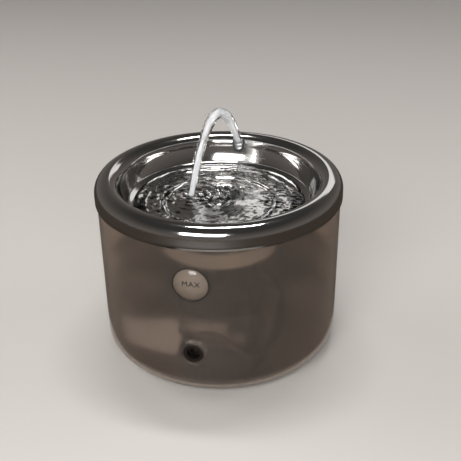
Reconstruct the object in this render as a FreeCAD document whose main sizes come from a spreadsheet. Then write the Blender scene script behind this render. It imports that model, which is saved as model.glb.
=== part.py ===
# Pet water fountain: a clear tank with a polished steel drinking tray on top.
# Millimetres, +Z up. Origin: centre of the footprint, on the floor. The filling
# window and the power inlet face -Y and the spout stands at +Y.
import FreeCAD
import Part
import Sketcher
import math
import os

os.makedirs("parts", exist_ok=True)
doc = FreeCAD.newDocument("PetWaterFountain")
Vector = FreeCAD.Vector

SIZES = {
    # Tank
    "rim_radius": 93.4, "tank_taper": 0.8, "tank_wall": 2.6, "rim_height": 132.0,
    "base_height": 1.0, "base_round": 17.0,
    "window_height": 98.5, "window_radius": 13.5, "window_depth": 1.1,
    "foot_pad_radius": 6.0, "foot_pad_place": 39.0,
    # Power inlet in the tank wall
    "inlet_height": 40.0, "inlet_depth": 1.0, "inlet_flange_radius": 7.5, "inlet_flange": 0.8,
    "inlet_barrel_radius": 6.0, "inlet_gap": 0.1, "inlet_boss": 2.4, "inlet_boss_radius": 11.0,
    "boot_radius": 4.8, "boot_depth": 5.0, "inlet_bore": 2.8, "inlet_bore_depth": 8.0,
    "inlet_back_wall": 1.5, "inlet_pin_radius": 1.0, "inlet_pin_length": 6.0,
    "inlet_seal": 1.2, "inlet_nut": 2.6, "inlet_nut_radius": 9.0,
    # Steel tray
    "sheet": 0.8, "lip_radius": 9.5, "floor_radius": 42.0, "step_rise": 2.2,
    "drain_radius": 11.0, "drain_width": 3.0, "drain_arc": 84.0,
    "dimple_radius": 4.5, "dimple_rise": 1.0,
    "skirt_gap": 0.8, "lip_above_rim": 1.5, "skirt_drop": 6.5, "bowl_depth": 11.0,
    "bowl_wall_lean": 6.0, "step_width": 13.0, "step_drop": 5.0, "floor_drop": 2.5,
    # Filter under the tray
    "collar_drop": 18.0, "lug_above": 4.0, "ear_above": 11.0, "cup_drop": 24.0,
    "collar_radius": 44.0, "collar_wall": 2.0,
    "lug_thickness": 2.5, "lug_reach": 2.0, "stud_circle_radius": 49.5, "stud_radius": 1.5,
    "ear_thickness": 2.5, "ear_radius": 4.5, "stud_below": 3.0,
    "collar_nut": 2.2, "collar_nut_radius": 3.2,
    "basket_gap": 0.5, "basket_wall": 1.5, "basket_ring": 12.0, "basket_taper": 2.0,
    "cup_radius": 22.0, "hook_thickness": 2.5, "hook_clearance": 0.4,
    "filter_gap": 0.3, "filter_gasket": 2.0, "filter_frame_wall": 2.0, "filter_plate": 1.4,
    "carbon_layer": 2.8,
    # Pump
    "pump_x": 44.0, "pump_y": 36.0, "pump_z": 36.0, "pump_front": -10.0, "pump_floor": 8.0,
    "pump_wall": 3.0, "pump_round": 4.0, "chamber_radius": 13.0, "chamber_depth": 8.0,
    "well_radius": 8.2, "well_depth": 22.0, "well_wall": 1.5, "shaft_radius": 1.0,
    "bush_radius": 3.0, "bush_length": 2.0, "running_gap": 0.05, "magnet_radius": 7.6,
    "impeller_radius": 11.5, "impeller_disc": 1.6, "blade_width": 3.2, "blade_thickness": 1.4,
    "cover_radius": 16.0, "cover_thickness": 2.5, "intake_circle_radius": 7.5,
    "intake_radius": 1.9,
    "core_depth": 10.0, "potting_depth": 3.5, "coil_radius": 14.0, "fit_gap": 0.3,
    "strainer_wall": 1.6, "strainer_depth": 11.0, "sponge_depth": 5.0, "slot_width": 2.4,
    "cup_foot_radius": 5.0, "cup_foot_neck": 3.0, "cup_foot_place": 13.0,
    # Pipes and the jet of water
    "hose_wall_gap": 2.3, "mouth_inset": 1.5, "mouth_above_lip": 6.5, "spout_rise": 16.0,
    "spout_stand": 5.0, "jet_rise": 35.0, "jet_land_above": 6.2,
    "outlet_bore": 3.0, "outlet_radius": 4.9, "elbow_height": 53.0, "hose_radius": 5.2,
    "hose_bore": 4.0, "hose_bend": 22.0, "hose_overlap": 9.0,
    "spout_bore": 2.9, "spout_below": 14.0, "spout_bend": 9.0,
    "grommet_radius": 5.2, "grommet_proud": 1.0, "jet_gap": 1.6,
    "lead_radius": 1.9, "jet_radius": 4.0, "jet_land_x": -22.6, "jet_land_y": 2.0,
}

BAYONETS = 3
FOOT_CORNERS = [(1, 1), (-1, 1), (-1, -1), (1, -1)]
BLADES = 6
INTAKES = 6
JET_RUNS = 9

sheet = doc.addObject("Spreadsheet::Sheet", "Sizes")
for row, (alias, number) in enumerate(SIZES.items(), start=1):
    sheet.set(f"A{row}", alias)
    sheet.set(f"B{row}", str(number))
    sheet.setAlias(f"B{row}", alias)
doc.recompute()


class Length:
    """A size with its number and the expression that gives it from the sheet."""

    def __init__(self, value, text):
        self.value = value
        self.text = text

    def _with(self, other, sign, value, swap=False):
        text = other.text if isinstance(other, Length) else repr(float(other))
        left, right = (text, self.text) if swap else (self.text, text)
        return Length(value, f"({left} {sign} {right})")

    def __add__(self, other):
        return self._with(other, "+", self.value + number(other))

    __radd__ = __add__

    def __sub__(self, other):
        return self._with(other, "-", self.value - number(other))

    def __rsub__(self, other):
        return self._with(other, "-", number(other) - self.value, swap=True)

    def __mul__(self, other):
        return self._with(other, "*", self.value * number(other))

    __rmul__ = __mul__

    def __truediv__(self, other):
        return self._with(other, "/", self.value / number(other))

    def __neg__(self):
        return self * -1


def number(length):
    return length.value if isinstance(length, Length) else float(length)


class Sheet:
    """The sheet's sizes as attributes."""

    def __getattr__(self, alias):
        return Length(float(sheet.get(alias)), f"Sizes.{alias}")


size = Sheet()

# Places that follow from the driving sizes
size.foot_radius = size.rim_radius - size.tank_taper
size.tray_radius = size.rim_radius + size.skirt_gap + size.sheet
size.lip_height = size.rim_height + size.lip_above_rim
size.skirt_height = size.lip_height - size.skirt_drop
size.bowl_wall_radius = size.tray_radius - size.lip_radius * 2 - size.bowl_wall_lean
size.bowl_ledge_height = size.lip_height - size.bowl_depth
size.step_radius = size.bowl_wall_radius - size.step_width
size.step_height = size.bowl_ledge_height - size.step_drop
size.floor_height = size.step_height - size.floor_drop
size.collar_bottom = size.floor_height - size.collar_drop
size.lug_height = size.collar_bottom + size.lug_above
size.ear_height = size.collar_bottom + size.ear_above
size.cup_bottom = size.collar_bottom - size.cup_drop
size.riser_place = size.foot_radius - size.tank_wall - size.hose_radius - size.hose_wall_gap
size.mouth_place = size.tray_radius - size.lip_radius * 2 - size.mouth_inset
size.mouth_height = size.lip_height + size.mouth_above_lip
size.spout_turn_height = size.mouth_height - size.spout_rise
size.hose_top = size.spout_turn_height - size.spout_stand
size.jet_top = size.mouth_height + size.jet_rise
size.jet_land_height = size.floor_height + size.jet_land_above


def bind(item, prop, length):
    setattr(item, prop, number(length))
    if isinstance(length, Length):
        item.setExpression(prop, length.text)


def place(item, at, turn=None):
    turn = turn or FreeCAD.Rotation()
    item.Placement = FreeCAD.Placement(Vector(*map(number, at)), turn)
    for letter, length in zip("xyz", at):
        if isinstance(length, Length):
            item.setExpression(f"Placement.Base.{letter}", length.text)
    return item


# Local +Z points to the front or to the back
TO_FRONT = FreeCAD.Rotation(Vector(1, 0, 0), 90)
TO_BACK = FreeCAD.Rotation(Vector(1, 0, 0), -90)


def cylinder(radius, height, at, turn=None):
    item = doc.addObject("Part::Cylinder", "Cylinder")
    bind(item, "Radius", radius)
    bind(item, "Height", height)
    return place(item, at, turn)


def cone(bottom, top, height, at):
    item = doc.addObject("Part::Cone", "Cone")
    bind(item, "Radius1", bottom)
    bind(item, "Radius2", top)
    bind(item, "Height", height)
    return place(item, at)


def hexagon(circumradius, height, at, turn=None):
    item = doc.addObject("Part::Prism", "Hexagon")
    item.Polygon = 6
    bind(item, "Circumradius", circumradius)
    bind(item, "Height", height)
    return place(item, at, turn)


def block(x_size, y_size, z_size, at, turn=None):
    """A box centred on x = 0 where at[0] is None."""
    item = doc.addObject("Part::Box", "Block")
    bind(item, "Length", x_size)
    bind(item, "Width", y_size)
    bind(item, "Height", z_size)
    x_place = -x_size / 2 if at[0] is None else at[0]
    return place(item, (x_place, at[1], at[2]), turn)


def joined(*pieces):
    item = doc.addObject("Part::MultiFuse", "Joined")
    item.Shapes = list(pieces)
    return item


def group(*pieces):
    item = doc.addObject("Part::Compound", "Group")
    item.Links = list(pieces)
    return item


def less(base, *tools):
    item = doc.addObject("Part::Cut", "Less")
    item.Base = base
    item.Tool = tools[0] if len(tools) == 1 else joined(*tools)
    return item


def rounded_upright(box, radius):
    """Round the four upright edges of a box."""
    doc.recompute()
    item = doc.addObject("Part::Fillet", "Rounded")
    item.Base = box
    upright = []
    for index, edge in enumerate(box.Shape.Edges, start=1):
        along = edge.tangentAt(edge.FirstParameter)
        if abs(along.z) > 0.99:
            upright.append((index, number(radius), number(radius)))
    item.Edges = upright
    return item


def outline(body, name, corners, plane):
    """A closed sketch. A corner is (x, y), or (x, y, radius, side) where an arc leads
    to it from the last corner, turning left for side 1 and right for side -1."""
    sketch = body.newObject("Sketcher::SketchObject", name)
    support = next(f for f in body.Origin.OriginFeatures if f.Role == plane)
    sketch.AttachmentSupport = [(support, "")]
    sketch.MapMode = "FlatFace"
    rules = []
    bound = []
    ends = []
    for index, corner in enumerate(corners):
        last = corners[index - 1]
        start = Vector(number(last[0]), number(last[1]), 0)
        end = Vector(number(corner[0]), number(corner[1]), 0)
        if len(corner) == 2:
            geo = sketch.addGeometry(Part.LineSegment(start, end), False)
            ends.append((geo, 1, 2))
            continue
        radius, side = number(corner[2]), corner[3]
        chord = end - start
        left = Vector(-chord.y, chord.x, 0).normalize() * side
        reach = math.sqrt(max(radius ** 2 - (chord.Length / 2) ** 2, 0.0))
        centre = (start + end) * 0.5 + left * reach
        first, second = (start, end) if side > 0 else (end, start)
        a0 = math.atan2(first.y - centre.y, first.x - centre.x)
        a1 = math.atan2(second.y - centre.y, second.x - centre.x)
        if a1 < a0:
            a1 += 2 * math.pi
        circle = Part.Circle(centre, Vector(0, 0, 1), radius)
        geo = sketch.addGeometry(Part.ArcOfCircle(circle, a0, a1), False)
        ends.append((geo, 1, 2) if side > 0 else (geo, 2, 1))
        rules.append(("Radius", (geo,), corner[2]))
    made = []
    for index, (geo, _, tail) in enumerate(ends):
        after = ends[(index + 1) % len(ends)]
        made.append(Sketcher.Constraint("Coincident", geo, tail, after[0], after[1]))
        x_place, y_place = corners[index][0], corners[index][1]
        for kind, length, axis in (("DistanceX", x_place, -2), ("DistanceY", y_place, -1)):
            if number(length) == 0 and not isinstance(length, Length):
                made.append(Sketcher.Constraint("PointOnObject", geo, tail, axis))
            else:
                bound.append((len(made), length))
                made.append(Sketcher.Constraint(kind, -1, 1, geo, tail, number(length)))
    for kind, target, length in rules:
        bound.append((len(made), length))
        made.append(Sketcher.Constraint(kind, *target, number(length)))
    sketch.addConstraint(made)
    for index, length in bound:
        if isinstance(length, Length):
            sketch.setExpression(f"Constraints[{index}]", length.text)
    return sketch


def turned(name, corners, at=(0, 0, 0), turn=None):
    """A body turned about its own Z from an outline of (radius, height) corners."""
    body = doc.addObject("PartDesign::Body", name)
    sketch = outline(body, f"{name}_outline", corners, "XZ_Plane")
    spin = body.newObject("PartDesign::Revolution", f"{name}_turned")
    spin.Profile = sketch
    spin.ReferenceAxis = (sketch, ["V_Axis"])
    spin.Angle = 360
    return place(body, at, turn)


def extruded(name, corners, height, at=(0, 0, 0), turn=None):
    """A body padded upwards from an outline on the ground plane."""
    body = doc.addObject("PartDesign::Body", name)
    sketch = outline(body, f"{name}_outline", corners, "XY_Plane")
    pad = body.newObject("PartDesign::Pad", f"{name}_padded")
    pad.Profile = sketch
    bind(pad, "Length", height)
    return place(body, at, turn)


def ring(name, inner, outer, height, at, turn=None):
    corners = [(inner, 0), (outer, 0), (outer, height), (inner, height)]
    return turned(name, corners, at, turn)


def run_wire(points, bend):
    """Straight runs joined by tangent arcs. bend is one radius, or None for arcs as
    large as 0.45 of the shorter run allows."""
    path = [Vector(*map(number, point)) for point in points]
    edges = []
    here = path[0]
    for before, corner, after in zip(path, path[1:], path[2:]):
        back = (before - corner).normalize()
        on = (after - corner).normalize()
        half = (math.pi - back.getAngle(on)) / 2
        shorter = min(before.distanceToPoint(corner), corner.distanceToPoint(after))
        radius = number(bend) if bend else 0.45 * shorter / math.tan(half)
        trim = radius * math.tan(half)
        first = corner + back * trim
        last = corner + on * trim
        middle = corner + (back + on).normalize() * radius * (1 / math.cos(half) - 1)
        edges.append(Part.LineSegment(here, first).toShape())
        edges.append(Part.Arc(first, middle, last).toShape())
        here = last
    edges.append(Part.LineSegment(here, path[-1]).toShape())
    return edges


def pipe(points, bend, radius):
    """A round bar along the runs."""
    solid = None
    for edge in run_wire(points, bend):
        start = edge.valueAt(edge.FirstParameter)
        along = edge.tangentAt(edge.FirstParameter)
        disc = Part.Face(Part.Wire(Part.makeCircle(number(radius), start, along)))
        if edge.Curve.TypeId == "Part::GeomLine":
            stretch = disc.extrude(along * edge.Length)
        else:
            turn = math.degrees(edge.Length / edge.Curve.Radius)
            stretch = disc.revolve(edge.Curve.Center, edge.Curve.Axis, turn)
        solid = stretch if solid is None else solid.fuse(stretch)
    return solid.removeSplitter()


def piped(name, points, bend, radius, bore=None):
    item = doc.addObject("Part::Feature", name)
    shape = pipe(points, bend, radius)
    if bore:
        shape = shape.cut(pipe(points, bend, bore))
    item.Shape = shape
    item.Placement = FreeCAD.Placement()
    return item


def around(count, start=0.0):
    """The angles of a ring of like pieces, in degrees."""
    return [start + turn * 360.0 / count for turn in range(count)]


def polar(radius, angle):
    angle = math.radians(angle)
    return radius * math.cos(angle), radius * math.sin(angle)


nodes = {}


def node(label, item):
    item.Label = label
    nodes[label] = item
    return item


# Tank: one clear moulded shell with a filling window, an inlet boss and four pads
knee_height = size.base_height + size.base_round
tank_slope = (size.rim_radius - size.foot_radius) / (size.rim_height - knee_height)


def tank_outside(height):
    return size.foot_radius + (height - knee_height) * tank_slope


tank_floor = size.base_height + size.tank_wall
inner_round = size.base_round - size.tank_wall
shell = turned("tank_wall_body", [
    (0, size.base_height),
    (size.foot_radius - size.base_round, size.base_height),
    (size.foot_radius, knee_height, size.base_round, 1),
    (size.rim_radius, size.rim_height),
    (size.rim_radius - size.tank_wall, size.rim_height),
    (size.foot_radius - size.tank_wall, knee_height),
    (size.foot_radius - size.base_round, tank_floor, inner_round, -1),
    (0, tank_floor),
])
inlet_face = tank_outside(size.inlet_height) - size.inlet_depth
boss_face = tank_outside(size.inlet_height) - size.tank_wall - size.inlet_boss
boss = cylinder(size.inlet_boss_radius, size.tank_wall / 2 + size.inlet_boss,
                (0, -boss_face, size.inlet_height), TO_FRONT)
window_face = tank_outside(size.window_height) - size.window_depth
window_cut = cylinder(size.window_radius, size.tank_wall * 2, (0, -window_face, size.window_height),
                      TO_FRONT)
inlet_cut = cylinder(size.inlet_flange_radius + size.inlet_gap, size.tank_wall * 2,
                     (0, -inlet_face, size.inlet_height), TO_FRONT)
inlet_hole = cylinder(size.inlet_barrel_radius + size.inlet_gap, inlet_face - boss_face + 2,
                      (0, 1 - boss_face, size.inlet_height), TO_FRONT)
node("tank_shell", less(joined(shell, boss), window_cut, inlet_cut, inlet_hole))
node("tank_feet", group(*[
    cylinder(size.foot_pad_radius, size.base_height,
             (size.foot_pad_place * x, size.foot_pad_place * y, 0)) for x, y in FOOT_CORNERS
]))

# Power inlet: a black socket through the tank wall, held by a nut on a seal
bore_end = size.boot_depth + size.inlet_bore_depth
inlet_at = (0, -inlet_face, size.inlet_height)
node("inlet_socket", turned("inlet_socket", [
    (size.boot_radius, size.inlet_flange), (size.inlet_flange_radius, size.inlet_flange),
    (size.inlet_flange_radius, 0), (size.inlet_barrel_radius, 0),
    (size.inlet_barrel_radius, -bore_end - size.inlet_back_wall),
    (0, -bore_end - size.inlet_back_wall), (0, size.inlet_flange - bore_end),
    (size.inlet_bore, size.inlet_flange - bore_end),
    (size.inlet_bore, size.inlet_flange - size.boot_depth),
    (size.boot_radius, size.inlet_flange - size.boot_depth),
], inlet_at, TO_FRONT))
node("inlet_pin", cylinder(size.inlet_pin_radius, size.inlet_pin_length,
                           (0, bore_end - size.inlet_flange - inlet_face, size.inlet_height),
                           TO_FRONT))
seal_outer = size.inlet_nut_radius - 1
node("inlet_seal", ring("inlet_seal", size.inlet_barrel_radius, seal_outer, size.inlet_seal,
                        (0, size.inlet_seal - boss_face, size.inlet_height), TO_FRONT))
nut_back = boss_face - size.inlet_seal - size.inlet_nut
nut_at = (0, -nut_back, size.inlet_height)
node("inlet_nut", less(hexagon(size.inlet_nut_radius, size.inlet_nut, nut_at, TO_FRONT),
                       cylinder(size.inlet_barrel_radius, size.inlet_nut, nut_at, TO_FRONT)))

# Steel tray: one pressed sheet with a rolled lip, a stepped bowl and a slotted drain
lip_centre = size.tray_radius - size.lip_radius
lip_inside = size.lip_radius - size.sheet
lip_inner_edge = lip_centre - size.lip_radius
step_under = size.step_height - size.sheet
tray_sheet = turned("tray_sheet", [
    (0, size.floor_height - size.sheet),
    (size.floor_radius + size.sheet / 2, size.floor_height - size.sheet),
    (size.floor_radius + size.step_rise + size.sheet / 2, step_under),
    (size.step_radius + size.sheet / 2, step_under),
    (size.bowl_wall_radius + size.sheet, size.bowl_ledge_height - size.sheet),
    (lip_inner_edge + size.sheet, size.lip_height),
    (lip_centre, size.lip_height + lip_inside, lip_inside, -1),
    (size.tray_radius - size.sheet, size.lip_height, lip_inside, -1),
    (size.tray_radius - size.sheet, size.skirt_height),
    (size.tray_radius, size.skirt_height),
    (size.tray_radius, size.lip_height),
    (lip_centre, size.lip_height + size.lip_radius, size.lip_radius, 1),
    (lip_inner_edge, size.lip_height, size.lip_radius, 1),
    (size.bowl_wall_radius, size.bowl_ledge_height),
    (size.step_radius, size.step_height),
    (size.floor_radius + size.step_rise, size.step_height),
    (size.floor_radius, size.floor_height),
    (size.dimple_radius + size.dimple_rise, size.floor_height),
    (size.dimple_radius, size.floor_height + size.dimple_rise),
    (0, size.floor_height + size.dimple_rise),
])
DRAINS = 3
slot_inner = size.drain_radius - size.drain_width / 2
slot_outer = size.drain_radius + size.drain_width / 2
slots = []
for angle in around(DRAINS, 90 - number(size.drain_arc) / 2):
    sector = cylinder(slot_outer, size.sheet * 4, (0, 0, size.floor_height - size.sheet * 2),
                      FreeCAD.Rotation(Vector(0, 0, 1), angle))
    bind(sector, "Angle", size.drain_arc)
    slots.append(sector)
slot_ring = less(joined(*slots), cylinder(slot_inner, size.sheet * 4,
                                          (0, 0, size.floor_height - size.sheet * 2)))

# The spout leans inwards from its turn to its mouth, through the lip's shoulder, where
# a rubber grommet lines the hole in the sheet
lean_along = Vector(0, -number(size.riser_place - size.mouth_place),
                    number(size.mouth_height - size.spout_turn_height))
lean = FreeCAD.Rotation(Vector(0, 0, 1), lean_along)
turn_at = (0, size.riser_place, size.spout_turn_height)
spout_radius = size.hose_bore - size.running_gap
lean_length = lean_along.Length * 1.5
node("steel_tray", less(tray_sheet, slot_ring,
                        cylinder(size.grommet_radius, lean_length, turn_at, lean)))
grommet_band = turned("grommet_band", [
    (size.bowl_wall_radius - size.grommet_proud, size.bowl_ledge_height),
    (size.bowl_wall_radius + size.sheet + size.grommet_proud,
     size.bowl_ledge_height - size.sheet),
    (lip_inner_edge + size.sheet + size.grommet_proud, size.lip_height),
    (lip_centre, size.lip_height + lip_inside - size.grommet_proud,
     lip_inside - size.grommet_proud, -1),
    (lip_centre, size.lip_height + size.lip_radius + size.grommet_proud),
    (lip_inner_edge - size.grommet_proud, size.lip_height,
     size.lip_radius + size.grommet_proud, 1),
])
grommet_plug = doc.addObject("Part::Common", "GrommetPlug")
grommet_plug.Base = grommet_band
grommet_plug.Tool = cylinder(size.grommet_radius, lean_length, turn_at, lean)
node("spout_grommet", less(grommet_plug, cylinder(spout_radius, lean_length, turn_at, lean)))
spout_run = [
    (0, size.riser_place, size.hose_top - size.spout_below),
    turn_at,
    (0, size.mouth_place, size.mouth_height),
]
node("spout", piped("spout", spout_run, size.spout_bend, spout_radius, size.spout_bore))
node("tray_gasket", turned("tray_gasket", [
    (lip_centre, size.rim_height), (size.tray_radius - size.sheet, size.rim_height),
    (size.tray_radius - size.sheet, size.lip_height),
    (lip_centre, size.lip_height + lip_inside, lip_inside, 1),
]))

# Water jet: a parabola from the mouth to the bowl, in short runs
mouth = Vector(0, number(size.mouth_place), number(size.mouth_height))
jet_start = mouth + lean_along.normalize() * number(size.jet_gap)
jet_end = Vector(*map(number, (size.jet_land_x, size.jet_land_y, size.jet_land_height)))
climb = number(size.jet_top) - jet_start.z
drop = number(size.jet_top) - jet_end.z
apex_share = math.sqrt(climb) / (math.sqrt(climb) + math.sqrt(drop))
jet_path = []
for step in range(JET_RUNS + 1):
    share = step / JET_RUNS
    height = number(size.jet_top) - climb * ((share - apex_share) / apex_share) ** 2
    flat = jet_start + (jet_end - jet_start) * share
    jet_path.append((flat.x, flat.y, height))
node("water_stream", piped("water_stream", jet_path, None, size.jet_radius))

# Filter under the tray: a collar on three welded studs and a basket that twists onto it
floor_under = size.floor_height - size.sheet
collar_inner = size.collar_radius - size.collar_wall
collar_height = floor_under - size.collar_bottom
collar_wall = ring("collar_wall", collar_inner, size.collar_radius, collar_height - size.collar_wall,
                   (0, 0, size.collar_bottom))
collar_parts = [collar_wall]
ear_holes = []
studs = []
stud_nuts = []
lugs = []
for angle in around(BAYONETS, 90):
    x, y = polar(size.stud_circle_radius, angle)
    swing = FreeCAD.Rotation(Vector(0, 0, 1), angle)
    collar_parts.append(cylinder(size.ear_radius, size.ear_thickness, (x, y, size.ear_height)))
    x_in, y_in = polar(size.collar_radius - 1, angle)
    bridge = cylinder(size.ear_radius, size.ear_thickness, (x_in, y_in, size.ear_height))
    collar_parts.append(bridge)
    ear_holes.append(cylinder(size.stud_radius + size.inlet_gap, size.ear_thickness,
                              (x, y, size.ear_height)))
    stud_low = size.ear_height - size.stud_below
    studs.append(cylinder(size.stud_radius, step_under - stud_low, (x, y, stud_low)))
    nut_at = (x, y, size.ear_height - size.collar_nut)
    stud_nuts.append(less(hexagon(size.collar_nut_radius, size.collar_nut, nut_at),
                          cylinder(size.stud_radius, size.collar_nut, nut_at)))
for angle in around(BAYONETS, 210 - 6):
    lug = cylinder(size.collar_radius + size.lug_reach, size.lug_thickness,
                   (0, 0, size.lug_height), FreeCAD.Rotation(Vector(0, 0, 1), angle))
    lug.Angle = 10
    lugs.append(lug)
collar_core = cylinder(collar_inner, collar_height, (0, 0, size.collar_bottom))
collar_top = ring("collar_top", size.floor_radius - size.collar_wall * 2, size.collar_radius - 1,
                  size.collar_wall, (0, 0, floor_under - size.collar_wall))
node("filter_collar", joined(less(joined(*collar_parts, *lugs), collar_core, *ear_holes),
                             collar_top))
node("tray_studs", group(*studs))
node("collar_nuts", group(*stud_nuts))

basket_inside = size.collar_radius + size.basket_gap
basket_outside = basket_inside + size.basket_wall
basket_low = size.collar_bottom - size.basket_ring
shelf_inner = collar_inner - size.basket_taper
basket_cup = turned("basket_cup", [
    (0, size.cup_bottom), (size.cup_radius, size.cup_bottom),
    (shelf_inner, basket_low - size.basket_wall), (basket_outside, basket_low),
    (basket_outside, size.collar_bottom), (basket_inside, size.collar_bottom),
    (basket_inside, basket_low + size.basket_wall),
    (shelf_inner, basket_low + size.basket_wall),
    (shelf_inner - size.basket_wall, basket_low),
    (size.cup_radius - size.basket_wall / 2, size.cup_bottom + size.basket_wall),
    (0, size.cup_bottom + size.basket_wall),
])
hook_low = size.lug_height + size.lug_thickness + size.hook_clearance
hook_top = hook_low + size.hook_thickness
hook_posts = []
hook_bars = []
for angle in around(BAYONETS, 210):
    post = cylinder(basket_outside, hook_top - size.collar_bottom, (0, 0, size.collar_bottom),
                    FreeCAD.Rotation(Vector(0, 0, 1), angle + 5.5))
    post.Angle = 5
    bar = cylinder(basket_outside, size.hook_thickness, (0, 0, hook_low),
                   FreeCAD.Rotation(Vector(0, 0, 1), angle - 5))
    bar.Angle = 15.5
    hook_posts += [post, bar]
hook_core = cylinder(basket_inside, hook_top - size.collar_bottom, (0, 0, size.collar_bottom))
OUTFLOWS = 8
outflow_holes = []
for angle in around(OUTFLOWS):
    x, y = polar(size.cup_radius * 0.62, angle)
    outflow_holes.append(cylinder(size.drain_width, size.basket_wall * 2,
                                  (x, y, size.cup_bottom - size.basket_wall / 2)))
hooks = less(joined(*hook_posts), hook_core)
node("filter_basket", less(joined(basket_cup, hooks), *outflow_holes))

frame_low = basket_low + size.basket_wall
frame_outer = basket_inside - size.filter_gap
frame_top = size.collar_bottom - size.filter_gasket
frame_inner = frame_outer - size.filter_frame_wall
frame_ring = ring("frame_ring", frame_inner, frame_outer, frame_top - frame_low,
                  (0, 0, frame_low))
frame_plate = cylinder(frame_inner, size.filter_plate, (0, 0, frame_low))
plate_holes = []
for circle_share, holes in ((0.3, 6), (0.6, 12), (0.85, 18)):
    for angle in around(holes):
        x, y = polar(frame_inner * circle_share, angle)
        plate_holes.append(cylinder(size.drain_width / 2, size.filter_plate, (x, y, frame_low)))
node("filter_frame", less(joined(frame_ring, frame_plate), *plate_holes))
carbon_low = frame_low + size.filter_plate
node("filter_carbon", cylinder(frame_inner - size.filter_gap / 2, size.carbon_layer,
                               (0, 0, carbon_low)))
cotton_low = carbon_low + size.carbon_layer
node("filter_cotton", cylinder(frame_inner - size.filter_gap / 2, frame_top - cotton_low,
                               (0, 0, cotton_low)))
node("filter_gasket", ring("filter_gasket", collar_inner - 2, frame_outer, size.filter_gasket,
                           (0, 0, frame_top)))

# Pump: a sealed motor in a moulded box, with its wheel in the front chamber
pump_back = size.pump_front + size.pump_y
pump_middle = size.pump_floor + size.pump_z / 2
pump_top = size.pump_floor + size.pump_z
pump_case = rounded_upright(
    block(size.pump_x, size.pump_y, size.pump_z, (None, size.pump_front, size.pump_floor)),
    size.pump_round)
chamber = cylinder(size.chamber_radius, size.chamber_depth, (0, size.pump_front, pump_middle),
                   TO_BACK)
well_start = size.pump_front + size.chamber_depth
well_end = well_start + size.well_depth
well = cylinder(size.well_radius, size.well_depth, (0, well_start, pump_middle), TO_BACK)
well_tube = cylinder(size.well_radius + size.well_wall, size.well_depth + size.well_wall,
                     (0, well_start, pump_middle), TO_BACK)
cavity_start = well_start + size.pump_wall
cavity_x = size.pump_x - size.pump_wall * 2
cavity_z = size.pump_z - size.pump_wall * 2
cavity_low = size.pump_floor + size.pump_wall
motor_cavity = block(cavity_x, pump_back - cavity_start, cavity_z,
                     (None, cavity_start, cavity_low))
outlet_y = size.pump_front + size.chamber_depth / 2
outlet_hole = cylinder(size.outlet_bore, pump_top - pump_middle, (0, outlet_y, pump_middle))
node("pump_body", less(joined(less(pump_case, motor_cavity), well_tube), chamber, well,
                       outlet_hole))
core_start = cavity_start + 1
core_block = block(cavity_x - size.fit_gap * 2, size.core_depth, cavity_z - size.fit_gap * 2,
                   (None, core_start, cavity_low + size.fit_gap))
core_bore = size.well_radius + size.well_wall
node("stator_core", less(core_block, cylinder(core_bore, size.core_depth,
                                              (0, core_start, pump_middle), TO_BACK)))
coil_start = core_start + size.core_depth
potting_start = pump_back - size.potting_depth
node("stator_coil", ring("stator_coil", core_bore, size.coil_radius, potting_start - coil_start,
                         (0, coil_start, pump_middle), TO_BACK))
node("pump_potting", block(cavity_x, size.potting_depth, cavity_z,
                           (None, potting_start, cavity_low)))

# Wheel and magnet turn together on a fixed ceramic shaft between two bushes
cover_front = size.pump_front - size.cover_thickness
back_bush = well_end - size.bush_length
node("shaft_bushes", group(
    ring("back_bush", size.shaft_radius, size.bush_radius, size.bush_length,
         (0, back_bush, pump_middle), TO_BACK),
    ring("front_bush", size.shaft_radius, size.bush_radius, size.cover_thickness,
         (0, cover_front, pump_middle), TO_BACK)))
node("rotor_shaft", cylinder(size.shaft_radius, well_end - cover_front,
                             (0, cover_front, pump_middle), TO_BACK))
wheel_start = size.pump_front + 1
wheel_bore = size.shaft_radius + size.running_gap
magnet_start = wheel_start + size.blade_width + size.impeller_disc
node("rotor_magnet", ring("rotor_magnet", wheel_bore, size.magnet_radius,
                          back_bush - size.fit_gap - magnet_start,
                          (0, magnet_start, pump_middle), TO_BACK))
wheel_disc = cylinder(size.impeller_radius, size.impeller_disc,
                      (0, wheel_start + size.blade_width, pump_middle), TO_BACK)
wheel_hub = cylinder(size.bush_radius, size.blade_width, (0, wheel_start, pump_middle), TO_BACK)
blades = []
for angle in around(BLADES):
    spin = FreeCAD.Rotation(Vector(0, 1, 0), angle)
    blades.append(block(size.impeller_radius - 0.5, size.blade_width, size.blade_thickness,
                        (0, wheel_start, pump_middle), spin))
wheel = joined(wheel_disc, wheel_hub, *blades)
node("impeller", less(wheel, cylinder(wheel_bore, size.blade_width + size.impeller_disc,
                                      (0, wheel_start, pump_middle), TO_BACK)))
intakes = []
for angle in around(INTAKES):
    x, z = polar(size.intake_circle_radius, angle)
    intakes.append(cylinder(size.intake_radius, size.cover_thickness,
                            (x, cover_front, pump_middle + z), TO_BACK))
node("impeller_cover", less(
    cylinder(size.cover_radius, size.cover_thickness, (0, cover_front, pump_middle), TO_BACK),
    cylinder(size.bush_radius, size.cover_thickness, (0, cover_front, pump_middle), TO_BACK),
    *intakes))

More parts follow.
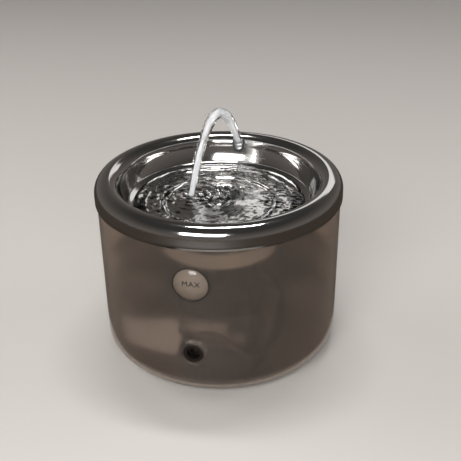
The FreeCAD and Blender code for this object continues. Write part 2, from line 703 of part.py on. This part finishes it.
# Strainer: a slotted cap with a foam block, pushed onto the pump's front
strainer_front = size.pump_front - size.strainer_depth
strainer_x = size.pump_x + size.strainer_wall * 2 + size.fit_gap * 2
strainer_z = size.pump_z + size.strainer_wall + size.fit_gap
strainer_case = block(strainer_x, size.strainer_depth + size.pump_round * 2, strainer_z,
                      (None, strainer_front, size.pump_floor))
strainer_hollow = block(size.pump_x + size.fit_gap * 2, size.strainer_depth + size.pump_round * 2,
                        size.pump_z + size.fit_gap,
                        (None, strainer_front + size.strainer_wall, size.pump_floor))
elbow_notch = block(size.outlet_radius * 2 + 2, size.strainer_depth + size.pump_round * 2,
                    size.strainer_wall * 3,
                    (None, size.pump_front - 2, pump_top - size.strainer_wall))
SLOTS = 7
front_slots = []
slot_pitch = size.pump_x / (SLOTS + 1)
for index in range(SLOTS):
    front_slots.append(block(size.slot_width, size.strainer_wall, size.pump_z * 0.6,
                             ((index - SLOTS // 2) * slot_pitch - size.slot_width / 2,
                              strainer_front, size.pump_floor + size.pump_z * 0.2)))
node("strainer_cover", less(strainer_case, strainer_hollow, elbow_notch, *front_slots))
sponge_start = strainer_front + size.strainer_wall
node("pump_sponge", block(size.pump_x, size.sponge_depth, size.pump_z - size.fit_gap,
                          (None, sponge_start, size.pump_floor + size.fit_gap)))
node("pump_feet", group(*[
    cone(size.cup_foot_radius, size.cup_foot_neck, size.pump_floor - tank_floor,
         (size.cup_foot_place * x, size.pump_front + size.pump_y / 2 + size.cup_foot_place * y,
          tank_floor)) for x, y in FOOT_CORNERS
]))

# Pipes: a stiff outlet elbow, a soft riser hose and the low voltage lead
elbow_end = outlet_y + size.outlet_radius * 3
node("outlet_elbow", piped("outlet_elbow", [
    (0, outlet_y, pump_top), (0, outlet_y, size.elbow_height),
    (0, elbow_end + size.hose_overlap, size.elbow_height),
], size.outlet_radius + 1, size.hose_bore, size.outlet_bore))
node("riser_hose", piped("riser_hose", [
    (0, elbow_end, size.elbow_height), (0, size.riser_place, size.elbow_height),
    (0, size.riser_place, size.hose_top),
], size.hose_bend, size.hose_radius, size.hose_bore))
socket_back = inlet_face - bore_end - size.inlet_back_wall
lead_low = tank_floor + size.lead_radius + 0.5
lead_side = size.pump_x / 2 + 12
lead_in_y = pump_back + 14
node("pump_lead", piped("pump_lead", [
    (0, -socket_back, size.inlet_height),
    (0, -socket_back + 12, size.inlet_height),
    (lead_side * 0.35, -socket_back + 25, size.inlet_height - 9),
    (lead_side * 0.75, -socket_back + 36, lead_low + 6),
    (lead_side, -socket_back + 53, lead_low),
    (lead_side + 1, size.pump_front + 12, lead_low),
    (lead_side, pump_back + 2, lead_low + 1),
    (lead_side * 0.7, lead_in_y + 1, lead_low + 3),
    (lead_side * 0.32, lead_in_y + 1.5, lead_low + 7),
    (8, lead_in_y - 6, lead_low + 9.5),
    (8, pump_back, lead_low + 9.5),
], None, size.lead_radius))

doc.recompute()
faults = [item.Name for item in doc.Objects if {"Invalid", "Error"} & set(item.State)]
if faults:
    raise RuntimeError(f"objects that failed: {faults}")
for label, item in nodes.items():
    shape = item.Shape
    if shape.isNull() or not shape.isValid() or shape.Volume <= 0:
        raise RuntimeError(f"{label} has no valid solid")
    shape.exportStep(f"parts/{label}.step")
    box = shape.BoundBox
    print(f"{label:16s} solids {len(shape.Solids):2d} volume {shape.Volume:10.1f} "
          f"z {box.ZMin:7.2f} to {box.ZMax:7.2f}")
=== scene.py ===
import math

import bmesh
import bpy
from mathutils import Matrix, Vector, noise


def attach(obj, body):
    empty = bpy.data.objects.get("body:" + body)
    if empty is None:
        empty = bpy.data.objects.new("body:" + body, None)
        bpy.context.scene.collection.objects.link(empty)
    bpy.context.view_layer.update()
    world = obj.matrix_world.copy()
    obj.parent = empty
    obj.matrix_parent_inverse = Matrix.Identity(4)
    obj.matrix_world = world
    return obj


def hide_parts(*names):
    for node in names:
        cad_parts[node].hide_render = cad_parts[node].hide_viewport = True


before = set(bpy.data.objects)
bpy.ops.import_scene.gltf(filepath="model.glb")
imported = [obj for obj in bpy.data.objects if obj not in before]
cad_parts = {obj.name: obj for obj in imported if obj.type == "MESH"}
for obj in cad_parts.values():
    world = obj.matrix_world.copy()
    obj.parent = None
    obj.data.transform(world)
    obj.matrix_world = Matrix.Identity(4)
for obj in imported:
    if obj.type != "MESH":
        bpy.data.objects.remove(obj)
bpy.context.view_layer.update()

# Camera at the photograph's viewing angle: a little right of the window side, looking
# down at the bowl from about 0.7 m.
VIEW_TURN = math.radians(12.4)
VIEW_PITCH = math.radians(27.86)
VIEW_ROLL = math.radians(-0.873)
CAMERA_PLACE = Vector((0.0085, -0.5940, 0.4069))
FOCAL_PIXELS = 850
PHOTO_WIDTH = 461
ahead = Vector((0, math.cos(VIEW_PITCH), -math.sin(VIEW_PITCH)))
level_up = Vector((0, math.sin(VIEW_PITCH), math.cos(VIEW_PITCH)))
level_right = Vector((1, 0, 0))
right = level_right * math.cos(VIEW_ROLL) + level_up * math.sin(VIEW_ROLL)
up = level_up * math.cos(VIEW_ROLL) - level_right * math.sin(VIEW_ROLL)
camera_data = bpy.data.cameras.new("photo_camera")
camera_data.lens = FOCAL_PIXELS / PHOTO_WIDTH * camera_data.sensor_width
camera = bpy.data.objects.new("photo_camera", camera_data)
bpy.context.scene.collection.objects.link(camera)
place = Matrix((right, up, -ahead)).transposed().to_4x4()
place.translation = CAMERA_PLACE
camera.matrix_world = Matrix.Rotation(VIEW_TURN, 4, "Z") @ place
bpy.context.scene.camera = camera
bpy.context.scene.view_settings.view_transform = "Standard"


# Tank: one injection moulding in smoke-tinted clear plastic, frosted inside, with a
# polished round window. Its CAD shell is kept, and only the window is clear.
WINDOW_HEIGHT = 0.0985
WINDOW_RADIUS = 0.0135
FRONT_ONLY = -0.05


class Wire:
    """A shader socket, wrapped so that shader maths reads as expressions."""

    def __init__(self, finish, socket):
        self.finish = finish
        self.socket = socket

    def _math(self, operation, first, second=None):
        inputs = {0: first}
        if second is not None:
            inputs[1] = second
        return self.finish.node("ShaderNodeMath", {"operation": operation}, inputs)

    def __add__(self, other):
        return self._math("ADD", self, other)

    def __radd__(self, other):
        return self._math("ADD", other, self)

    def __sub__(self, other):
        return self._math("SUBTRACT", self, other)

    def __rsub__(self, other):
        return self._math("SUBTRACT", other, self)

    def __mul__(self, other):
        return self._math("MULTIPLY", self, other)

    def __rmul__(self, other):
        return self._math("MULTIPLY", other, self)

    def less_than(self, other):
        return self._math("LESS_THAN", self, other)

    def power(self, other):
        return self._math("POWER", self, other)


class Finish:
    """A material, with one method for any node."""

    def __init__(self, name, **constants):
        self.material = bpy.data.materials.new(name)
        self.material.use_nodes = True
        self.tree = self.material.node_tree
        self.surface = self.tree.nodes["Principled BSDF"]
        for socket, value in constants.items():
            self.set(socket.replace("_", " "), value)

    def set(self, socket, value):
        self._feed(self.surface.inputs[socket], value)

    def _feed(self, target, value):
        if isinstance(value, Wire):
            self.tree.links.new(value.socket, target)
        elif hasattr(target.default_value, "__len__") and len(value) == 3:
            is_colour = len(target.default_value) == 4
            target.default_value = (*value, 1) if is_colour else value
        else:
            target.default_value = value

    def node(self, kind, settings=None, inputs=None, output=0):
        made = self.tree.nodes.new(kind)
        for setting, value in (settings or {}).items():
            setattr(made, setting, value)
        for socket, value in (inputs or {}).items():
            self._feed(made.inputs[socket], value)
        return Wire(self, made.outputs[output])

    def place(self):
        return self.node("ShaderNodeTexCoord", output="Object")

    def coordinates(self):
        """Wires of a point's X, Y and Z on the piece, in metres."""
        split = self.node("ShaderNodeSeparateXYZ", inputs={0: self.place()})
        return [Wire(self, output) for output in split.socket.node.outputs]

    def noise(self, scale, detail=3.0, stretch=(1, 1, 1)):
        spot = self.node("ShaderNodeMapping", inputs={"Vector": self.place(), "Scale": stretch})
        return self.node("ShaderNodeTexNoise", inputs={"Vector": spot, "Scale": scale,
                                                       "Detail": detail})

    def ramp(self, factor, low, high, low_colour, high_colour):
        made = self.tree.nodes.new("ShaderNodeValToRGB")
        made.color_ramp.elements[0].position = low
        made.color_ramp.elements[1].position = high
        made.color_ramp.elements[0].color = (*low_colour, 1)
        made.color_ramp.elements[1].color = (*high_colour, 1)
        self._feed(made.inputs[0], factor)
        return Wire(self, made.outputs[0])

    def bump(self, height, distance, strength=1.0):
        self.set("Normal", self.node("ShaderNodeBump", inputs={
            "Height": height, "Distance": distance, "Strength": strength}))


def dress(finish, *names):
    """Give CAD nodes a finish."""
    for name in names:
        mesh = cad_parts[name].data
        mesh.materials.clear()
        mesh.materials.append(finish.material)


frosted = Finish("smoke_frosted", Base_Color=(0.52, 0.44, 0.38), Transmission_Weight=0.95,
                 IOR=1.38, Specular_IOR_Level=0.35)
shell_x, shell_y, shell_z = frosted.coordinates()
from_window = (shell_x.power(2) + (shell_z - WINDOW_HEIGHT).power(2)).power(0.5)
in_window = from_window.less_than(WINDOW_RADIUS) * shell_y.less_than(FRONT_ONLY)
frost_grain = frosted.noise(900, 2)
frosted.set("Roughness", (1 - in_window) * (0.13 + frost_grain * 0.04) + in_window * 0.015)
dress(frosted, "tank_shell")

# Window: a thin polished disc in a raised dark edge, flush in the tank's recess, with the
# filling mark printed on it in plain letters.
WINDOW_FACE = -0.09206
EDGE_WIDTH, EDGE_DEPTH = 0.0008, 0.0009
INSERT_THICKNESS = 0.0002
MARK_HEIGHT = 0.0058
INK_THICKNESS = 0.00012


def piece(name, mesh_edit, finish, body, smooth=True):
    """A finished piece from a bmesh, at the origin, riding on a body."""
    mesh = bpy.data.meshes.new(name)
    mesh_edit.to_mesh(mesh)
    mesh_edit.free()
    mesh.materials.append(finish.material)
    for face in mesh.polygons:
        face.use_smooth = smooth
    made = bpy.data.objects.new(name, mesh)
    bpy.context.scene.collection.objects.link(made)
    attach(made, body)
    return made


def spun(outline, steps=192):
    """A bmesh turned about Z from (radius, height) points, in metres."""
    made = bmesh.new()
    points = [made.verts.new((radius, 0, height)) for radius, height in outline]
    edges = [made.edges.new(pair) for pair in zip(points, points[1:])]
    bmesh.ops.spin(made, geom=points + edges, cent=(0, 0, 0), axis=(0, 0, 1),
                   angle=math.tau, steps=steps, use_merge=True)
    bmesh.ops.remove_doubles(made, verts=made.verts, dist=1e-6)
    bmesh.ops.recalc_face_normals(made, faces=made.faces)
    return made


def at_window(mesh_edit, lift):
    """Stand a flat mesh upright at the window, a lift out from its face."""
    upright = Matrix.Rotation(math.radians(90), 4, "X")
    outward = Matrix.Translation((0, WINDOW_FACE - lift, WINDOW_HEIGHT))
    bmesh.ops.transform(mesh_edit, matrix=outward @ upright, verts=mesh_edit.verts)


edge_inner = WINDOW_RADIUS - EDGE_WIDTH
edge = spun([(edge_inner, 0), (WINDOW_RADIUS, 0), (WINDOW_RADIUS, EDGE_DEPTH),
             (edge_inner, EDGE_DEPTH), (edge_inner, 0)], 96)
at_window(edge, -0.00005)
edge_dark = Finish("window_edge_dark", Base_Color=(0.02, 0.018, 0.016), Roughness=0.35)
piece("window_edge", edge, edge_dark, "tank")

insert = spun([(0, 0), (edge_inner, 0), (edge_inner, INSERT_THICKNESS), (0, INSERT_THICKNESS)], 96)
at_window(insert, -0.00002)
insert_clear = Finish("window_insert", Base_Color=(0.25, 0.20, 0.16), Roughness=0.12, IOR=1.45,
                      Transmission_Weight=0.35)
piece("window_insert", insert, insert_clear, "tank")

words = bpy.data.curves.new("filling_mark", "FONT")
words.body = "MAX"
words.size = MARK_HEIGHT
words.align_x = "CENTER"
words.align_y = "CENTER"
words.space_character = 1.12
words.extrude = INK_THICKNESS
word_object = bpy.data.objects.new("filling_mark_words", words)
mark = bmesh.new()
mark.from_mesh(bpy.data.meshes.new_from_object(word_object))
bpy.data.objects.remove(word_object)
at_window(mark, 0.00026)
ink = Finish("mark_ink", Base_Color=(0.02, 0.016, 0.014), Roughness=0.5)
piece("filling_mark", mark, ink, "tank", smooth=False)

# Drinking tray: one deep-drawn sheet of stainless steel, mirror polished, with a rolled
# lip, a stepped bowl and three curved drain slots. It replaces the plain CAD sheet.
TRAY_RADIUS = 0.0950
SKIRT_LOW = 0.1270
LIP_CENTRE = (0.0855, 0.1335)
LIP_RADIUS = 0.0095
SHEET = 0.0008
CORNER_CUT = 0.0012
BOWL_STEPS = ((0.0700, 0.1225), (0.0665, 0.1213), (0.0640, 0.1198), (0.0605, 0.1189),
              (0.0570, 0.1175), (0.0455, 0.1174), (0.0443, 0.1170), (0.0424, 0.1152),
              (0.0412, 0.1150))
DRAIN_INNER, DRAIN_OUTER = 0.0095, 0.0125
DRAIN_HALF_ARC = math.radians(42)
FLOOR = 0.1150
TRAY_SIDES = 240


def arc(centre, radius, start, end, count):
    """Points round a centre, from one angle to another, in degrees."""
    turns = [math.radians(start + (end - start) * step / count) for step in range(count + 1)]
    return [(centre[0] + radius * math.cos(t), centre[1] + radius * math.sin(t)) for t in turns]


def softened(points, cut):
    """Corners of an open outline cut back and rounded with short arcs."""
    done = [points[0]]
    for before, corner, after in zip(points, points[1:], points[2:]):
        before, corner, after = Vector(before), Vector(corner), Vector(after)
        near = corner + (before - corner).normalized() * min(cut, (before - corner).length / 2)
        far = corner + (after - corner).normalized() * min(cut, (after - corner).length / 2)
        for share in (0, 0.25, 0.5, 0.75, 1):
            spot = near.lerp(corner, share).lerp(corner.lerp(far, share), share)
            done.append((spot.x, spot.y))
    done.append(points[-1])
    return done


bowl_line = softened([(LIP_CENTRE[0] - LIP_RADIUS, LIP_CENTRE[1]), *BOWL_STEPS,
                      (0.036, FLOOR)], CORNER_CUT)
tray_line = [(TRAY_RADIUS, SKIRT_LOW), (TRAY_RADIUS, SKIRT_LOW + 0.0035),
             (TRAY_RADIUS, LIP_CENTRE[1] - 0.0012), *arc(LIP_CENTRE, LIP_RADIUS, 0, 180, 40),
             *bowl_line[1:]]
tray_line += [(0.024, FLOOR), (DRAIN_OUTER + 0.001, FLOOR), (DRAIN_OUTER, FLOOR),
              (DRAIN_INNER, FLOOR), (0.0080, FLOOR), (0.0058, FLOOR + 0.0001),
              (0.0047, FLOOR + 0.0008), (0.0036, FLOOR + 0.0011), (0.0018, FLOOR + 0.00115),
              (0, FLOOR + 0.00115)]
tray = spun(tray_line, TRAY_SIDES)
slots = []
for face in tray.faces:
    middle = face.calc_center_median()
    reach = math.hypot(middle.x, middle.y)
    turn = (math.atan2(middle.y, middle.x) - math.radians(90)) % (math.tau / 3)
    off = min(turn, math.tau / 3 - turn)
    if DRAIN_INNER < reach < DRAIN_OUTER and off < DRAIN_HALF_ARC:
        slots.append(face)
bmesh.ops.delete(tray, geom=slots, context="FACES")
steel = Finish("mirror_steel", Base_Color=(0.62, 0.605, 0.59), Metallic=1.0)
polish = steel.noise(14, 4, (1, 1, 3))
steel.set("Roughness", 0.07 + polish * 0.06)
steel.bump(steel.noise(60, 2), 0.00002, 0.25)
tray_piece = piece("steel_tray_pressed", tray, steel, "tray")
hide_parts("steel_tray")
wall = tray_piece.modifiers.new("sheet", "SOLIDIFY")
wall.thickness = SHEET
wall.offset = -1

# Bowl water: a shallow pool over the bowl's floor and steps, a hair's breadth off the steel.
# Its surface is rippled in rings where the jet lands, and churned towards the edge.
POOL_LEVEL = 0.1216
POOL_EDGE = 0.0667
POOL_GAP = (0.0003, 0.00012)
POOL_RINGS = 64
RIPPLE_LENGTH, RIPPLE_REACH, RIPPLE_HEIGHT = 0.0062, 0.016, 0.00050
JET_LAND = Vector((-0.0226, 0.002))
clear_water = Finish("clear_water", Base_Color=(1, 1, 1), Roughness=0.0, IOR=1.333,
                     Transmission_Weight=1.0)
pool_floor = [(radius - POOL_GAP[0], height + POOL_GAP[1]) for radius, height in bowl_line
              if radius < POOL_EDGE and height < POOL_LEVEL - 0.0004]
pool_line = [(0, FLOOR + 0.0015), (0.006, FLOOR + 0.0014), (0.008, FLOOR + 0.00015)]
pool_line += list(reversed(pool_floor))
surface_reach = POOL_EDGE - 0.0008
pool_line += [(surface_reach * (1 - step / POOL_RINGS), POOL_LEVEL)
              for step in range(POOL_RINGS + 1)]
pool = spun(pool_line, TRAY_SIDES)
for vert in pool.verts:
    if abs(vert.co.z - POOL_LEVEL) > 1e-5:
        continue
    flat = Vector((vert.co.x, vert.co.y))
    away = (flat - JET_LAND).length
    rings = math.cos(away * math.tau / RIPPLE_LENGTH) * math.exp(-away / RIPPLE_REACH)
    churn = noise.noise(Vector((flat.x, flat.y, 0)) * 150) * 0.0007
    churn += noise.noise(Vector((flat.x, flat.y, 0.3)) * 330) * 0.00035
    held = min(1.0, (POOL_EDGE - flat.length) / 0.003)
    calm = 0.12 + 0.88 * min(1.0, max(0.0, (flat.length - 0.020) / 0.030))
    vert.co.z += (rings * RIPPLE_HEIGHT + churn * calm) * max(held, 0.15)
piece("bowl_water", pool, clear_water, "tray")

# Water jet: a clear stream, twisted and beaded as it falls, from the spout's mouth over
# to the left of the drain, round a white core that is a painted highlight standing in for
# the lamps' reflection in the stream. It replaces the plain CAD stream.
MOUTH = Vector((0, 0.0740, 0.1408))
LANDING = Vector((*JET_LAND, 0.1208))
JET_TOP = 0.1745
JET_STEPS = 150
JET_SIDES = 24
JET_FLATNESS = 0.92
climb = JET_TOP - MOUTH.z
fall = JET_TOP - LANDING.z
top_share = math.sqrt(climb) / (math.sqrt(climb) + math.sqrt(fall))


def jet_point(share):
    flat = MOUTH.lerp(LANDING, share)
    return Vector((flat.x, flat.y, JET_TOP - climb * ((share - top_share) / top_share) ** 2))


def stream(thickness, bead_height, twist_depth):
    """A closed stream of water along the jet's path, as thick as a share of the jet."""
    made = bmesh.new()
    last_loop = None
    for step in range(JET_STEPS + 1):
        share = step / JET_STEPS
        spot = jet_point(share)
        along = (jet_point(share + 0.01) - jet_point(share - 0.01)).normalized()
        side = along.cross(Vector((0, 0, 1))).normalized()
        over = side.cross(along)
        base = 0.0036 + 0.0008 * math.sin(share * math.pi) - 0.0005 * share
        loop = []
        for turn in range(JET_SIDES):
            angle = math.tau * turn / JET_SIDES
            beads = math.sin(share * 150) * max(0.0, math.cos(angle)) * share
            radius = base * (1 + twist_depth * math.sin(angle * 2 + share * 14))
            radius += bead_height * beads
            around = Vector((math.cos(angle), math.sin(angle), share * 16))
            radius += noise.noise(around * 1.4) * 0.00025 * share
            radius *= thickness
            loop.append(made.verts.new(spot + side * math.cos(angle) * radius
                                       + over * math.sin(angle) * radius * JET_FLATNESS))
        ends = [made.edges.new((loop[i - 1], loop[i])) for i in range(JET_SIDES)]
        if last_loop:
            bmesh.ops.bridge_loops(made, edges=last_loop + ends)
        else:
            made.faces.new(loop)
        last_loop = ends
    made.faces.new(loop)
    bmesh.ops.recalc_face_normals(made, faces=made.faces)
    return made


jet_piece = piece("water_jet", stream(1.0, 0.0006, 0.06), clear_water, "tray")
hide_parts("water_stream")
# Jet core: near-opaque white water inside the clear stream, a painted highlight.
painted_highlight_core = Finish("painted_highlight_water", Base_Color=(0.97, 0.98, 0.99), Roughness=0.3, IOR=1.333,
                 Transmission_Weight=0.15)
piece("jet_core", stream(0.42, 0.0, 0.25), painted_highlight_core, "tray")

# Tank water: the store in the tank, clear, with a flat surface. Its tint is painted light
# and shade: a painted dark brown shade across the front of the surface, a pale top, and
# greyer sides and floor. It stands a hair's breadth off the moulding.
WATER_LEVEL = 0.0715
WALL_GAP = 0.00015
TANK_FLOOR = 0.0036
TANK_FOOT_INSIDE = 0.0900
FOOT_ROUND, FOOT_ROUND_CENTRE = 0.0144, (0.0756, 0.018)
TANK_LEAN = (0.0934 - 0.0926) / (0.132 - 0.018)
store_floor = TANK_FLOOR + WALL_GAP
store_wall = TANK_FOOT_INSIDE - WALL_GAP + (WATER_LEVEL - FOOT_ROUND_CENTRE[1]) * TANK_LEAN
store = spun([(0, store_floor), (FOOT_ROUND_CENTRE[0], store_floor),
              *arc(FOOT_ROUND_CENTRE, FOOT_ROUND - WALL_GAP, -90, 0, 12)[1:],
              (store_wall, WATER_LEVEL), (0, WATER_LEVEL)], 160)
store_water = Finish("store_water", Roughness=0.0, IOR=1.333, Transmission_Weight=1.0)
_, store_y, store_z = store_water.coordinates()
below_surface = store_z.less_than(WATER_LEVEL - 0.0004)
# Painted shade: the surface is dark brown towards the front and pale further back, and the sides
# and floor are a painted grey, darker than the top.
painted_surface_shade = store_water.ramp((store_y + 0.070) * 60, 0.2, 0.8, (0.34, 0.26, 0.20),
                                 (0.86, 0.85, 0.84))
store_water.set("Base Color", store_water.node(
    "ShaderNodeMix", {"data_type": "RGBA"},
    {"Factor": below_surface, 6: painted_surface_shade, 7: (0.66, 0.68, 0.71)}, output=2))
piece("tank_water", store, store_water, "tank")

# Power inlet: a black socket with a brass pin, held through the tank's wall by a moulded
# nut on a rubber washer.
socket_black = Finish("socket_black", Base_Color=(0.010, 0.007, 0.006), Roughness=0.6,
                      Specular_IOR_Level=0.15)
dress(socket_black, "inlet_socket")
pin_brass = Finish("pin_brass", Base_Color=(0.70, 0.55, 0.25), Metallic=1.0, Roughness=0.25)
dress(pin_brass, "inlet_pin")
black = Finish("black_moulding", Roughness=0.42)
black.set("Base Color", black.ramp(black.noise(300, 3), 0.35, 0.7, (0.035, 0.034, 0.034),
                                   (0.055, 0.053, 0.052)))
black.bump(black.noise(1500, 2), 0.00003, 0.5)
dress(black, "inlet_nut")
rubber = Finish("black_rubber", Base_Color=(0.016, 0.016, 0.017), Roughness=0.6)
rubber.bump(rubber.noise(900, 3), 0.00003, 0.5)
dress(rubber, "inlet_seal")

# Tray fittings and feet: turned steel studs and nuts under the bowl, grey silicone sealing
# rings, and soft pads pressed under the tank.
turned_steel = Finish("turned_steel", Base_Color=(0.55, 0.54, 0.53), Metallic=1.0)
turned_steel.set("Roughness", 0.22 + turned_steel.noise(80, 3, (1, 1, 8)) * 0.2)
dress(turned_steel, "tray_studs", "collar_nuts")
silicone = Finish("grey_silicone", Base_Color=(0.20, 0.20, 0.20), Roughness=0.5)
silicone.bump(silicone.noise(800, 2), 0.00003, 0.4)
dress(silicone, "tray_gasket", "filter_gasket")
pads = Finish("soft_pads", Base_Color=(0.11, 0.11, 0.115), Roughness=0.7)
pads.bump(pads.noise(1200, 2), 0.00003, 0.5)
dress(pads, "tank_feet")

# Filter: a white moulded basket and frame on a smoke-grey collar, with a layer of carbon
# grains over a layer of felted cotton.
white = Finish("white_moulding", Base_Color=(0.86, 0.86, 0.85), Roughness=0.3)
white.bump(white.noise(700, 2), 0.00002, 0.4)
dress(white, "filter_basket", "filter_frame")
smoke_grey = Finish("smoke_grey_moulding", Base_Color=(0.22, 0.235, 0.25), Roughness=0.35)
smoke_grey.bump(smoke_grey.noise(600, 2), 0.00002, 0.4)
dress(smoke_grey, "filter_collar")
grains = Finish("carbon_grains", Base_Color=(0.02, 0.02, 0.02), Roughness=0.7)
grain = grains.node("ShaderNodeTexVoronoi", inputs={"Vector": grains.place(), "Scale": 800.0})
grains.bump(grain, 0.0006, 1.0)
dress(grains, "filter_carbon")
felt = Finish("felted_cotton", Base_Color=(0.86, 0.85, 0.82), Roughness=0.95)
felt.bump(felt.noise(500, 6), 0.0004, 0.8)
dress(felt, "filter_cotton")

# Pump: black mouldings round a steel core and a copper coil cast in resin, a ferrite magnet
# with a white wheel on a ceramic shaft, a foam block, and rubber bushes, feet and lead.
dress(black, "pump_body", "impeller_cover", "strainer_cover", "outlet_elbow")
dress(turned_steel, "stator_core")
copper = Finish("enamelled_copper", Base_Color=(0.62, 0.28, 0.13), Metallic=1.0)
copper.set("Roughness", 0.3 + copper.noise(90, 2, (1, 9, 1)) * 0.2)
dress(copper, "stator_coil")
resin = Finish("cast_resin", Base_Color=(0.02, 0.02, 0.024), Roughness=0.25)
resin.bump(resin.noise(150, 3), 0.0001, 0.4)
dress(resin, "pump_potting")
ferrite = Finish("sintered_ferrite", Base_Color=(0.06, 0.06, 0.065), Roughness=0.5)
ferrite.bump(ferrite.noise(500, 3), 0.00003, 0.5)
dress(ferrite, "rotor_magnet")
dress(white, "impeller")
ground_ceramic = Finish("ground_ceramic", Base_Color=(0.85, 0.84, 0.80), Roughness=0.3)
dress(ground_ceramic, "rotor_shaft")
foam = Finish("open_cell_foam", Base_Color=(0.035, 0.035, 0.04), Roughness=0.95)
cells = foam.node("ShaderNodeTexVoronoi", inputs={"Vector": foam.place(), "Scale": 900.0})
foam.bump(cells, 0.0006, 1.0)
dress(foam, "pump_sponge")
dress(rubber, "shaft_bushes", "pump_feet", "pump_lead")

# Water pipes: a clear hose up the tank's back and a clear spout, which passes the bowl's
# wall in a rubber grommet.
clear_tube = Finish("clear_tube", Base_Color=(0.82, 0.84, 0.85), Roughness=0.12, IOR=1.42,
                    Transmission_Weight=0.9)
dress(clear_tube, "riser_hose", "spout")
dress(rubber, "spout_grommet")

# Studio floor: one wide pale matt sheet under the object, which keeps the object's
# shadow. It is staged, so it isn't part of the object.
FLOOR_SIZE = 8.0


def staged(name, mesh_edit, finish):
    """A piece of the studio, which isn't part of the object."""
    mesh = bpy.data.meshes.new(name)
    mesh_edit.to_mesh(mesh)
    mesh_edit.free()
    mesh.materials.append(finish.material)
    made = bpy.data.objects.new(name, mesh)
    bpy.context.scene.collection.objects.link(made)
    return made


floor = bmesh.new()
bmesh.ops.create_grid(floor, x_segments=1, y_segments=1, size=FLOOR_SIZE)
staged("pale_floor", floor, Finish("pale_floor", Base_Color=(0.52, 0.49, 0.46), Roughness=0.55))

# Dark card: a ring on the floor round the object, seen only in its reflections, as a
# studio's flag is. It gives the polished steel its dark parts.
CARD_INNER, CARD_OUTER, CARD_HEIGHT = 0.105, 1.6, 0.003
card = staged("dark_card", spun([(CARD_INNER, CARD_HEIGHT), (CARD_OUTER, CARD_HEIGHT)], 64),
              Finish("dark_card", Base_Color=(0.04, 0.03, 0.023)))
card.visible_camera = card.visible_diffuse = False
card.visible_transmission = card.visible_shadow = False

# Lamps: strips and a panel that the steel mirrors, and soft panels at the sides and the
# front that light the object alone.
AIM = Vector((0, 0, 0.08))


def lamp(name, at, x_size, y_size, watts, mirrored=True):
    data = bpy.data.lights.new(name, "AREA")
    data.shape = "RECTANGLE"
    data.size = x_size
    data.size_y = y_size
    data.energy = watts
    made = bpy.data.objects.new(name, data)
    made.location = at
    made.rotation_mode = "QUATERNION"
    made.rotation_quaternion = (AIM - Vector(at)).to_track_quat("-Z", "Y")
    made.visible_glossy = mirrored
    made.visible_camera = False
    bpy.context.scene.collection.objects.link(made)


lamp("window_strip", (0.0, 0.30, 1.50), 0.70, 0.12, 10)
lamp("front_strip", (-0.05, -1.15, 0.95), 0.85, 0.42, 14)
lamp("back_panel", (0.1, 2.2, 1.25), 1.1, 0.45, 1.5)
lamp("left_panel", (-1.6, 0.2, 0.9), 1.2, 1.2, 14, mirrored=False)
lamp("right_panel", (1.7, 0.6, 0.9), 1.2, 1.2, 12, mirrored=False)
lamp("front_panel", (0.3, -1.6, 0.55), 1.4, 0.8, 17, mirrored=False)

# Sky: dim and warm at the horizon, and darker overhead, so that the lamps are the
# brightest things in the steel.
SKY_LOW, SKY_HIGH = (0.19, 0.17, 0.155, 1), (0.05, 0.048, 0.045, 1)
world = bpy.data.worlds.new("studio_sky")
bpy.context.scene.world = world
world.use_nodes = True
sky = world.node_tree
sky_glow = sky.nodes["Background"]
direction = sky.nodes.new("ShaderNodeTexCoord")
parts = sky.nodes.new("ShaderNodeSeparateXYZ")
sky.links.new(direction.outputs["Generated"], parts.inputs[0])
shade = sky.nodes.new("ShaderNodeValToRGB")
sky.links.new(parts.outputs["Z"], shade.inputs[0])
stops = shade.color_ramp.elements
stops[0].position, stops[0].color = 0.0, SKY_LOW
stops[1].position, stops[1].color = 0.74, SKY_HIGH
sky.links.new(shade.outputs[0], sky_glow.inputs["Color"])
sky_glow.inputs["Strength"].default_value = 0.9
